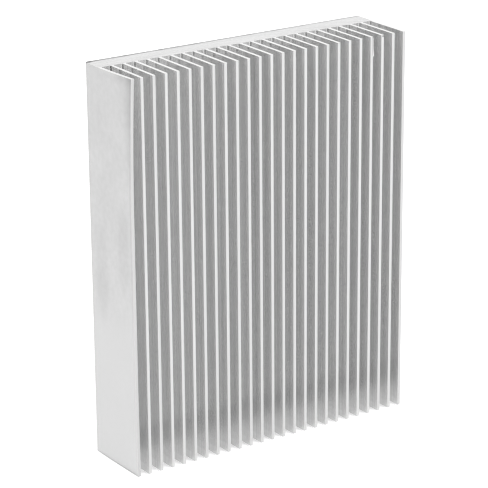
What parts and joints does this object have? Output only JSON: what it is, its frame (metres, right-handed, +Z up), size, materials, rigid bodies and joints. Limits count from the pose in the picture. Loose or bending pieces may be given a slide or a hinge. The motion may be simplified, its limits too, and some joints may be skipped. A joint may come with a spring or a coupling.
{
  "type": "extruded heat sink",
  "caption": "One-piece aluminium heat sink: a thick flat base plate with a dense comb of thin straight fins, sawn to length, for carrying heat away from a flat device.",
  "frame": {"origin": "under the middle of the part, on the plane of the lower sawn end that it stands on", "axes": "+Z up along the extrusion, +Y out of the flat mounting face at the back of the base plate, fins pointing along -Y, +X across the fins"},
  "size_m": [0.1, 0.025, 0.125],
  "materials": {
    "bare_aluminium": "bare mill-finish extrusion with fine die lines along its length, and sawn ends"
  },
  "bodies": {
    "root": {"heat_sink": "bare_aluminium"}
  },
  "joints": []
}
